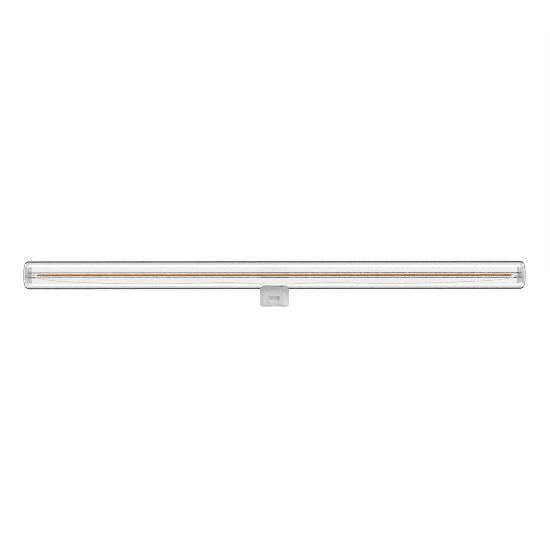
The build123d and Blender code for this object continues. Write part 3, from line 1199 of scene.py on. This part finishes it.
@dataclass
class Driver:
    """The board in the cap and what it carries."""

    laminate: Laminate = Laminate(
        "board_laminate",
        light=(0.10, 0.30, 0.16),
        dark=(0.07, 0.24, 0.12),
        roughness=0.4,
    )
    package: Moulding = Moulding(
        "moulded_package",
        light=(0.05, 0.05, 0.05),
        dark=(0.03, 0.03, 0.03),
        roughness=0.55,
        grain_scale=3000.0,
    )
    sleeve: Moulding = Moulding(
        "capacitor_sleeve",
        light=(0.07, 0.08, 0.12),
        dark=(0.05, 0.055, 0.08),
        roughness=0.25,
        grain_depth=2e-6,
    )
    coating: Moulding = Moulding(
        "fuse_coating",
        light=(0.22, 0.40, 0.28),
        dark=(0.17, 0.33, 0.22),
        roughness=0.3,
        grain_depth=5e-6,
    )
    packages: ClassVar[tuple[str, ...]] = ("bridge_rectifier", "driver_chip", "chip_resistors")

    def build(self, dresser: NodeDresser) -> None:
        """Dress the board and its components.

        Args:
            dresser: The frame's nodes and finishes.
        """
        dresser.dress("driver_board", self.laminate)
        for node in self.packages:
            dresser.dress(node, self.package)
        dresser.dress("smoothing_capacitor", self.sleeve)
        dresser.dress("fuse_resistor", self.coating)


@dataclass
class StripLamp:
    """A long narrow softbox along the tube, above it or below it.

    Its width lies between two angles from the upright, towards the front.
    """

    name: str
    level: Level
    near_angle: float
    far_angle: float
    axis_height: float = AXIS_HEIGHT
    distance: float = 0.6
    length: float = 2.4
    radiance: float = 3.6

    def build(self) -> None:
        """Make the lamp, which shows only in reflections."""
        near = self.distance * math.tan(math.radians(self.near_angle))
        far = self.distance * math.tan(math.radians(self.far_angle))
        data = bpy.data.lights.new(self.name, "AREA")
        data.shape = "RECTANGLE"
        data.size = self.length
        data.size_y = far - near
        data.energy = self.radiance * math.pi * data.size * data.size_y
        lamp = MeshTools.add_object(self.name, data)
        lamp.location = (0, -(near + far) / 2, self.axis_height + self.level.value * self.distance)
        lamp.rotation_euler = (0, 0, 0) if self.level is Level.ABOVE else (math.pi, 0, 0)
        lamp.visible_camera = False
        lamp.visible_transmission = False
        lamp.visible_diffuse = False
        LOG.info("lit %s", self.name)


@dataclass
class Studio:
    """Camera, white surround, pale floor and plain soft light.

    A reflection shows a dim room: mirror_horizon level with the lamp, mirror_zenith high up and low down.
    Once the light has passed glass within_depth times it shows mirror_within, and far_depth times
    mirror_far.
    """

    distance: float = 8.0
    view_width: float = 547.0 * MM
    sensor: float = 36.0
    aim_x: float = 0.55 * MM
    aim_z: float = 31.45 * MM
    roll: float = 0.05
    clip_end: float = 100.0
    filter_width: float = 1.0
    bounces: int = 24
    ambient: float = 0.05
    fill_left: float = 1.85
    fill_right: float = 1.60
    fill_spread: Step = Step(0.3, 0.9)
    mirror_horizon: float = 0.5
    mirror_zenith: float = 0.05
    mirror_climb: Step = Step(0.1, 0.6)
    mirror_within: float = 0.22
    within_depth: int = 1
    mirror_far: float = 0.90
    far_depth: int = 4
    key_energy: float = 2.2
    key_azimuth: float = 40.0
    key_elevation: float = 65.0
    key_angle: float = 16.0
    floor_size: float = 30.0
    floor_cells: int = 4
    floor_grain: float = 2.0
    floor_mottle: float = 1.01
    floor_tone: float = 0.80
    floor_lift: float = 0.12
    strips: Sequence[StripLamp] = (
        StripLamp("strip_above", Level.ABOVE, near_angle=0.0, far_angle=19.0),
        StripLamp("strip_below", Level.BELOW, near_angle=-5.0, far_angle=12.0),
    )

    def camera(self) -> None:
        """Stand the camera straight in front of the tube."""
        data = bpy.data.cameras.new("front_camera")
        data.sensor_width = self.sensor
        data.lens = self.sensor * self.distance / self.view_width
        data.clip_end = self.clip_end
        made = MeshTools.add_object("front_camera", data)
        made.location = (self.aim_x, -self.distance, self.aim_z)
        made.rotation_euler = (math.pi / 2, math.radians(self.roll), 0)
        bpy.context.scene.camera = made

    @staticmethod
    def seen(tree: ShaderTree) -> Signal:
        """1 for what the camera sees, straight or through glass, with no reflection on the way.

        Args:
            tree: A material's tree, or the world's.

        Returns:
            A number, 0 or 1.
        """
        straight = tree.ray(Ray.CAMERA).larger(tree.ray(Ray.TRANSMISSION))
        turned = tree.reached(Ray.DIFFUSE_DEPTH, 1).larger(tree.reached(Ray.GLOSSY_DEPTH, 1))
        return straight * (1 - turned)

    @staticmethod
    def mirrored(tree: ShaderTree) -> Signal:
        """1 for what shows in a reflection."""
        return tree.reached(Ray.GLOSSY_DEPTH, 1) * (1 - tree.reached(Ray.DIFFUSE_DEPTH, 1))

    def world(self) -> None:
        """White for the camera and through glass, a dim room in reflections, soft fills from both sides."""
        world = bpy.data.worlds.new("white_surround")
        bpy.context.scene.world = world
        tree = ShaderTree(world)
        direction = tree.node("ShaderNodeTexCoord").outputs["Generated"]
        height = abs(tree.axis(direction, "Z")).rise(*self.mirror_climb)
        right = tree.axis(direction, "X")
        ambient = self.ambient + right.rise(*self.fill_spread) * self.fill_right
        ambient = ambient + (0 - right).rise(*self.fill_spread) * self.fill_left
        dim = self.mirror_horizon + height * (self.mirror_zenith - self.mirror_horizon)
        for depth, tone in ((self.within_depth, self.mirror_within), (self.far_depth, self.mirror_far)):
            dim = dim + tree.reached(Ray.TRANSMISSION_DEPTH, depth) * (tone - dim)
        mirrored = self.mirrored(tree)
        room = mirrored * dim + (1 - mirrored) * ambient
        seen = self.seen(tree)
        level = seen + (1 - seen) * room
        tree.surface(tree.node("ShaderNodeBackground", inputs={"Color": (1, 1, 1, 1), "Strength": level}))

    def floor(self) -> None:
        """Pale floor that keeps the lamp's shadow, left out of reflections and of views from below."""
        bm = bmesh.new()
        cells = self.floor_cells
        bmesh.ops.create_grid(bm, x_segments=cells, y_segments=cells, size=self.floor_size / 2)
        mesh = MeshTools.finished(bm, "floor")
        material = bpy.data.materials.new("pale_floor")
        tree = ShaderTree(material)
        tone = self.floor_tone
        mottle = tree.noise((1.0, 1.0, 1.0), self.floor_grain)
        soft = tree.blend(mottle, (tone,) * 3, (tone * self.floor_mottle,) * 3)
        matt = tree.node(
            "ShaderNodeBsdfPrincipled",
            inputs={"Base Color": soft, "Roughness": 1.0, "Specular IOR Level": 0.0},
        )
        lift = tree.node("ShaderNodeEmission", inputs={"Strength": self.floor_lift})
        glow = tree.node("ShaderNodeMixShader", inputs={0: tree.ray(Ray.CAMERA), 2: lift.outputs[0]})
        lit = tree.node("ShaderNodeAddShader", inputs={0: matt.outputs[0], 1: glow.outputs[0]})
        white = tree.node("ShaderNodeEmission", inputs={"Strength": 1.0})
        through = self.seen(tree) * tree.ray(Ray.TRANSMISSION)
        shown = tree.mix_shaders(through, lit, white)
        left_out = tree.node("ShaderNodeBsdfTransparent")
        underside = Signal(tree, tree.node("ShaderNodeNewGeometry").outputs["Backfacing"])
        unseen = self.mirrored(tree).larger(underside * tree.ray(Ray.CAMERA))
        tree.surface(tree.mix_shaders(unseen, shown, left_out))
        mesh.materials.append(material)
        plane = MeshTools.add_object("floor", mesh)
        plane.visible_glossy = False

    def key(self) -> None:
        """Soft main light from the upper right in front."""
        data = bpy.data.lights.new("key", "SUN")
        data.energy = self.key_energy
        data.angle = math.radians(self.key_angle)
        lamp = MeshTools.add_object("key", data)
        tilt = math.radians(90.0 - self.key_elevation)
        lamp.rotation_euler = (tilt, 0, math.radians(self.key_azimuth))
        lamp.visible_glossy = False
        lamp.visible_transmission = False
        lamp.visible_camera = False

    def build(self) -> None:
        """Set up the picture."""
        scene = bpy.context.scene
        scene.view_settings.view_transform = "Standard"
        scene.cycles.filter_width = self.filter_width
        scene.cycles.max_bounces = self.bounces
        scene.cycles.transmission_bounces = self.bounces
        scene.cycles.transparent_max_bounces = self.bounces
        self.camera()
        self.world()
        self.floor()
        self.key()
        for strip in self.strips:
            strip.build()
        LOG.info("set up the studio")


def main() -> None:
    """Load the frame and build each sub-assembly in order."""
    logging.basicConfig(level=logging.INFO, format="%(name)s: %(message)s")
    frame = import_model()
    dresser = NodeDresser(frame)
    Studio().build()
    for assembly in (GlassEnvelope(), FilamentTube(), FilamentLine(), EndPlugs(), Leads(), Cap(), Driver()):
        assembly.build(dresser)


if __name__ == "__main__":
    main()
